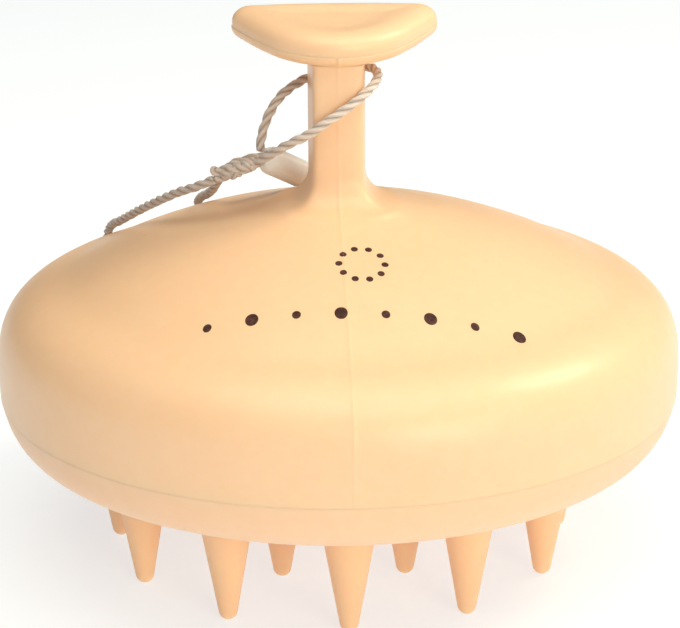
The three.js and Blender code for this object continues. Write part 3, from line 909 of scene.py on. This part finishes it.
def make_teeth():
    points, faces = skin(turned_rings(tooth_profile(), columns=40))
    for name in sorted(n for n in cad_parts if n.startswith("tooth_")):
        low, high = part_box(name)
        x, y = (low.x + high.x) / 2, (low.y + high.y) / 2
        standing = points + np.array((x, y, 0)) / MM
        tooth = make_piece(name.replace("tooth", "soft_tooth"), standing, faces, SILICONE_LOOK)
        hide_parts(name)
        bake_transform(tooth)


make_teeth()


# ---------------------------------------------------------------- print

PRINT_X, PRINT_Y = 1.8, -27.3
PRINT_TURN = math.radians(-1.8)


def print_place(x, y):
    """A place on the print's own plan, whose origin is the middle of its lower row, on the dome."""
    c, s = math.cos(PRINT_TURN), math.sin(PRINT_TURN)
    px, py = PRINT_X + x * c - y * s, PRINT_Y + x * s + y * c
    ridge = MOULD_LINE * np.interp(abs(px), LINE_X[2:], LINE_HEIGHT[2:])
    return px, py, dome_height(math.hypot(px, py)) + ridge


def ink_dot(x, y, half_x, half_y):
    """A filled oval of ink on the print's plan, as a low closed button on the dome."""
    turn = np.linspace(0, TURN, 28, endpoint=False)
    proud, sunk = 0.03, -0.08
    rings = []
    for share, lift in ((1.0, sunk), (1.0, proud * 0.6), (0.93, proud), (0.5, proud)):
        ring = [print_place(x + share * half_x * math.cos(a), y + share * half_y * math.sin(a)) for a in turn]
        rings.append([(px, py, pz + lift) for px, py, pz in ring])
    return skin(rings)


def make_print():
    """A row of eight plain dots with a ring of small dots above it, where the real one has its print."""
    row_dots, pitch = 8, 5.05
    ring_dots, ring_y, ring_half_x, ring_half_y = 10, 9.2, 2.7, 3.3
    large, small, tiny = (0.75, 0.95), (0.5, 0.62), (0.42, 0.5)
    dots = []
    for i in range(row_dots):
        dots.append(ink_dot((i - (row_dots - 1) / 2) * pitch, 0, *(large if i % 2 else small)))
    for i in range(ring_dots):
        a = TURN * i / ring_dots
        dots.append(ink_dot(ring_half_x * math.cos(a), ring_y + ring_half_y * math.sin(a), *tiny))
    points, faces = joined(dots)
    ink = make_piece("print_marks", points, faces, INK_LOOK)
    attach(ink, "root")


make_print()


# ---------------------------------------------------------------- hidden fastening parts

def dress_node(name, look):
    """Gives a CAD node that is kept a finished material."""
    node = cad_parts[name]
    if node.material_slots:
        node.material_slots[0].material = look
    else:
        node.data.materials.append(look)


dress_node("clamp_plate", inner_plastic())
STEEL_LOOK = plated_steel()
for screw_number in range(1, 5):
    dress_node(f"screw_{screw_number}", STEEL_LOOK)


# ---------------------------------------------------------------- floor, light

def make_floor():
    """Pale matt paper that gives some light of its own, so that it stays pale round the brush."""
    material, tree, shader = new_material(
        "floor_paper", (0.5, 0.5, 0.5), 0.9, Emission_Color=(0.9, 0.96, 1.0, 1), Emission_Strength=0.64)
    place = add_node(tree, "ShaderNodeTexCoord").outputs["Object"]
    fleck = spread_of(tree, noise(tree, place, 0.6, 2), 0.3, 0.7)
    tree.links.new(mixed(tree, fleck, (0.45, 0.45, 0.45), (0.43, 0.43, 0.43)), shader.inputs["Base Color"])
    half = 3000.0
    corners = [(-half, -half, 0), (half, -half, 0), (half, half, 0), (-half, half, 0)]
    floor = make_piece("floor", corners, [(0, 1, 2, 3)], material)


def area_light(name, direction, distance, size, power, color):
    """A square soft light that looks at the middle of the brush."""
    data = bpy.data.lights.new(name, "AREA")
    data.shape = "SQUARE"
    data.size = size
    data.energy = power
    data.color = color
    light = bpy.data.objects.new(name, data)
    bpy.context.collection.objects.link(light)
    out = Vector(direction).normalized()
    middle = Vector((0, 0, 0.035))
    light.location = middle + out * distance
    light.rotation_mode = "QUATERNION"
    light.rotation_quaternion = out.to_track_quat("Z", "Y")


def make_world():
    """Soft surroundings, bright in front and to the right, dim behind and to the left."""
    world = bpy.data.worlds.new("world")
    world.use_nodes = True
    tree = world.node_tree
    direction = add_node(tree, "ShaderNodeTexCoord").outputs["Generated"]
    bright_side = Vector((0.8, -0.55, 0.35)).normalized()
    facing = add_node(tree, "ShaderNodeVectorMath", {0: direction}, {1: bright_side}, operation="DOT_PRODUCT")
    strength = add_node(tree, "ShaderNodeMapRange", {"Value": facing.outputs["Value"]}, {
        "From Min": -0.75, "From Max": 0.55, "To Min": 0.05, "To Max": 0.5}, interpolation_type="SMOOTHSTEP")
    background = tree.nodes["Background"]
    background.inputs["Color"].default_value = (1.0, 0.985, 0.97, 1)
    tree.links.new(strength.outputs["Result"], background.inputs["Strength"])
    bpy.context.scene.world = world


def make_light():
    area_light("key", (0.67, 0.13, 0.72), distance=0.7, size=0.22, power=1.9, color=(1.0, 0.94, 0.66))
    area_light("top", (-0.02, -0.2, 0.97), distance=0.7, size=0.65, power=3.2, color=(1.0, 0.95, 0.78))
    area_light("front", (0.45, -0.86, 0.25), distance=0.9, size=0.4, power=2.9, color=(1.0, 0.95, 0.72))


make_world()
make_floor()
make_light()
bpy.context.scene.view_settings.view_transform = "Standard"
